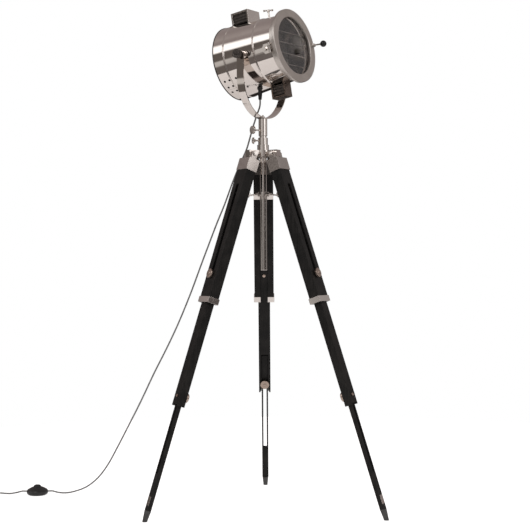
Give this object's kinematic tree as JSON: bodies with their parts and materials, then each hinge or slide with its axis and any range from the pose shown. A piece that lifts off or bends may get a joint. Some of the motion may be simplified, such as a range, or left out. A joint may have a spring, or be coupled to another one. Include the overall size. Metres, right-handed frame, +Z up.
{
  "type": "tripod floor lamp",
  "caption": "Tripod floor lamp: studio-style metal drum lamp head in a tilting yoke on a telescopic wooden tripod, with mains cord and foot switch.",
  "frame": {"origin": "on the floor, at the centre of the box that the three open legs fill, which is a little in front of the column's axis", "axes": "+Z up; +Y towards the back leg; +X to the right, the side that the head looks to"},
  "size_m": [1.3506, 0.6299, 1.5453],
  "materials": {
    "nickel": "polished",
    "satin_nickel": "satin",
    "black_wood": "satin lacquer",
    "black_rubber": "matte",
    "black_plastic": "satin",
    "dark_steel": "dark bronze",
    "knob_nickel": "warm satin",
    "reflector": "polished",
    "clear_glass": "clear",
    "bulb_glass": "frosted",
    "grey_cord": "matte"
  },
  "bodies": {
    "stand": {"hub": "satin_nickel", "hinge_bolts": "nickel", "cord_run": "grey_cord", "cord_coil": "grey_cord", "plug": "black_plastic", "foot_switch": "black_plastic"},
    "left_leg": {"left_cap": "satin_nickel", "left_upper": "black_wood", "left_ferrule": "satin_nickel", "left_bracket": "satin_nickel"},
    "left_middle_section": {"left_middle": "black_wood"},
    "left_lower_section": {"left_lower": "black_wood", "left_foot": "black_rubber"},
    "left_upper_clamp": {"left_upper_knob": "knob_nickel"},
    "left_lower_clamp": {"left_lower_knob": "knob_nickel"},
    "left_spreader_arm": {"left_arm": "satin_nickel"},
    "right_leg": {"right_cap": "satin_nickel", "right_upper": "black_wood", "right_ferrule": "satin_nickel", "right_bracket": "satin_nickel"},
    "right_middle_section": {"right_middle": "black_wood"},
    "right_lower_section": {"right_lower": "black_wood", "right_foot": "black_rubber"},
    "right_upper_clamp": {"right_upper_knob": "knob_nickel"},
    "right_lower_clamp": {"right_lower_knob": "knob_nickel"},
    "right_spreader_arm": {"right_arm": "satin_nickel"},
    "back_leg": {"back_cap": "satin_nickel", "back_upper": "black_wood", "back_ferrule": "satin_nickel", "back_bracket": "satin_nickel"},
    "back_middle_section": {"back_middle": "black_wood"},
    "back_lower_section": {"back_lower": "black_wood", "back_foot": "black_rubber"},
    "back_upper_clamp": {"back_upper_knob": "knob_nickel"},
    "back_lower_clamp": {"back_lower_knob": "knob_nickel"},
    "back_spreader_arm": {"back_arm": "satin_nickel"},
    "collar": {"spreader_collar": "satin_nickel"},
    "post": {"centre_post": "nickel"},
    "post_lock": {"post_screw": "nickel"},
    "yoke_turn": {"yoke": "nickel", "yoke_socket": "nickel"},
    "pan_lock": {"pan_screw": "nickel"},
    "head": {"pivot_studs": "nickel", "drum": "nickel", "rear_cap": "nickel", "door_hinge": "nickel", "guard_wires": "nickel", "reflector": "reflector", "lamp_holder": "black_plastic", "bulb": "bulb_glass", "top_vent": "nickel", "bottom_vent": "nickel", "cable_gland": "black_plastic"},
    "near_lock": {"near_pivot_knob": "dark_steel"},
    "far_lock": {"far_pivot_knob": "dark_steel"},
    "front_door": {"front_ring": "satin_nickel", "front_glass": "clear_glass", "door_handle": "black_plastic"},
    "latch": {"wing_screw": "nickel"},
    "button": {"switch_button": "black_plastic"}
  },
  "joints": [
    {"name": "left_leg_fold", "type": "hinge", "parent": "stand", "child": "left_leg", "pos_m": [-0.03637, -0.1236, 1.09467], "axis": [0.5, -0.866, 0], "range_deg": [0, 14.6]},
    {"name": "left_middle_slide", "type": "slide", "parent": "left_leg", "child": "left_middle_section", "axis": [0.2762, 0.1595, 0.9478], "range_m": [0, 0.24]},
    {"name": "left_lower_slide", "type": "slide", "parent": "left_middle_section", "child": "left_lower_section", "axis": [0.2762, 0.1595, 0.9478], "range_m": [0, 0.23]},
    {"name": "left_upper_clamp_turn", "type": "hinge", "parent": "left_middle_section", "child": "left_upper_clamp", "pos_m": [-0.14521, -0.18643, 0.72125], "axis": [-0.8208, -0.4739, 0.319], "range_deg": [0, 720]},
    {"name": "left_lower_clamp_turn", "type": "hinge", "parent": "left_middle_section", "child": "left_lower_clamp", "pos_m": [-0.25017, -0.24704, 0.3611], "axis": [0.8208, 0.4739, -0.319], "range_deg": [0, 720]},
    {"name": "left_arm_fold", "type": "hinge", "parent": "collar", "child": "left_spreader_arm", "pos_m": [-0.01905, -0.1136, 0.97112], "axis": [0.5, -0.866, 0], "range_deg": [0, 76.1]},
    {"name": "right_leg_fold", "type": "hinge", "parent": "stand", "child": "right_leg", "pos_m": [0.03637, -0.1236, 1.09467], "axis": [0.5, 0.866, 0], "range_deg": [0, 14.6]},
    {"name": "right_middle_slide", "type": "slide", "parent": "right_leg", "child": "right_middle_section", "axis": [-0.2762, 0.1595, 0.9478], "range_m": [0, 0.24]},
    {"name": "right_lower_slide", "type": "slide", "parent": "right_middle_section", "child": "right_lower_section", "axis": [-0.2762, 0.1595, 0.9478], "range_m": [0, 0.23]},
    {"name": "right_upper_clamp_turn", "type": "hinge", "parent": "right_middle_section", "child": "right_upper_clamp", "pos_m": [0.14521, -0.18643, 0.72125], "axis": [0.8208, -0.4739, 0.319], "range_deg": [0, 720]},
    {"name": "right_lower_clamp_turn", "type": "hinge", "parent": "right_middle_section", "child": "right_lower_clamp", "pos_m": [0.25017, -0.24704, 0.3611], "axis": [-0.8208, 0.4739, -0.319], "range_deg": [0, 720]},
    {"name": "right_arm_fold", "type": "hinge", "parent": "collar", "child": "right_spreader_arm", "pos_m": [0.01905, -0.1136, 0.97112], "axis": [0.5, 0.866, 0], "range_deg": [0, 76.1]},
    {"name": "back_leg_fold", "type": "hinge", "parent": "stand", "child": "back_leg", "pos_m": [0, -0.0606, 1.09467], "axis": [-1, 0, 0], "range_deg": [0, 14.6]},
    {"name": "back_middle_slide", "type": "slide", "parent": "back_leg", "child": "back_middle_section", "axis": [0, -0.319, 0.9478], "range_m": [0, 0.24]},
    {"name": "back_lower_slide", "type": "slide", "parent": "back_middle_section", "child": "back_lower_section", "axis": [0, -0.319, 0.9478], "range_m": [0, 0.23]},
    {"name": "back_upper_clamp_turn", "type": "hinge", "parent": "back_middle_section", "child": "back_upper_clamp", "pos_m": [0, 0.06507, 0.72125], "axis": [0, 0.9478, 0.319], "range_deg": [0, 720]},
    {"name": "back_lower_clamp_turn", "type": "hinge", "parent": "back_middle_section", "child": "back_lower_clamp", "pos_m": [0, 0.18627, 0.3611], "axis": [0, -0.9478, -0.319], "range_deg": [0, 720]},
    {"name": "back_arm_fold", "type": "hinge", "parent": "collar", "child": "back_spreader_arm", "pos_m": [0, -0.0806, 0.97112], "axis": [-1, 0, 0], "range_deg": [0, 76.1]},
    {"name": "collar_slide", "type": "slide", "parent": "stand", "child": "collar", "axis": [0, 0, 1], "range_m": [0, 0.0361]},
    {"name": "post_height", "type": "slide", "parent": "stand", "child": "post", "axis": [0, 0, 1], "range_m": [0, 0.2]},
    {"name": "post_screw_turn", "type": "hinge", "parent": "stand", "child": "post_lock", "pos_m": [0, -0.1026, 1.13767], "axis": [-1, 0, 0], "range_deg": [0, 720]},
    {"name": "yoke_pan", "type": "hinge", "parent": "post", "child": "yoke_turn", "pos_m": [0, -0.1026, 1.15167], "axis": [0, 0, 1], "range_deg": [-150, 150]},
    {"name": "pan_screw_turn", "type": "hinge", "parent": "yoke_turn", "child": "pan_lock", "pos_m": [0, -0.1026, 1.16867], "axis": [-0.8192, -0.5736, 0], "range_deg": [0, 720]},
    {"name": "head_tilt", "type": "hinge", "parent": "yoke_turn", "child": "head", "pos_m": [0, -0.1026, 1.38867], "axis": [-0.5592, -0.829, 0], "range_deg": [-45, 45], "deforming": ["cord_run"]},
    {"name": "near_knob_turn", "type": "hinge", "parent": "head", "child": "near_lock", "pos_m": [-0.06766, -0.20291, 1.38867], "axis": [-0.5592, -0.829, 0], "range_deg": [0, 720]},
    {"name": "far_knob_turn", "type": "hinge", "parent": "head", "child": "far_lock", "pos_m": [0.06766, -0.00229, 1.38867], "axis": [0.5592, 0.829, 0], "range_deg": [0, 720]},
    {"name": "front_door_swing", "type": "hinge", "parent": "head", "child": "front_door", "pos_m": [0.02071, -0.24768, 1.40092], "axis": [0.2063, 0.0288, -0.9781], "range_deg": [0, 110]},
    {"name": "wing_screw_turn", "type": "hinge", "parent": "head", "child": "latch", "pos_m": [0.02184, -0.11733, 1.51637], "axis": [-0.1297, 0.0875, 0.9877], "range_deg": [0, 720]},
    {"name": "switch_press", "type": "slide", "parent": "stand", "child": "button", "axis": [0, 0, -1], "range_m": [0, 0.003], "stiffness_N_per_m": 600}
  ],
  "couplings": [
    {"joint": "left_arm_fold", "follows": "left_leg_fold", "ratio": 5.2055},
    {"joint": "right_leg_fold", "follows": "left_leg_fold", "ratio": 1},
    {"joint": "right_arm_fold", "follows": "left_leg_fold", "ratio": 5.2055},
    {"joint": "back_leg_fold", "follows": "left_leg_fold", "ratio": 1},
    {"joint": "back_arm_fold", "follows": "left_leg_fold", "ratio": 5.2055},
    {"joint": "collar_slide", "follows": "left_leg_fold", "m_per_rad": 0.14128}
  ]
}
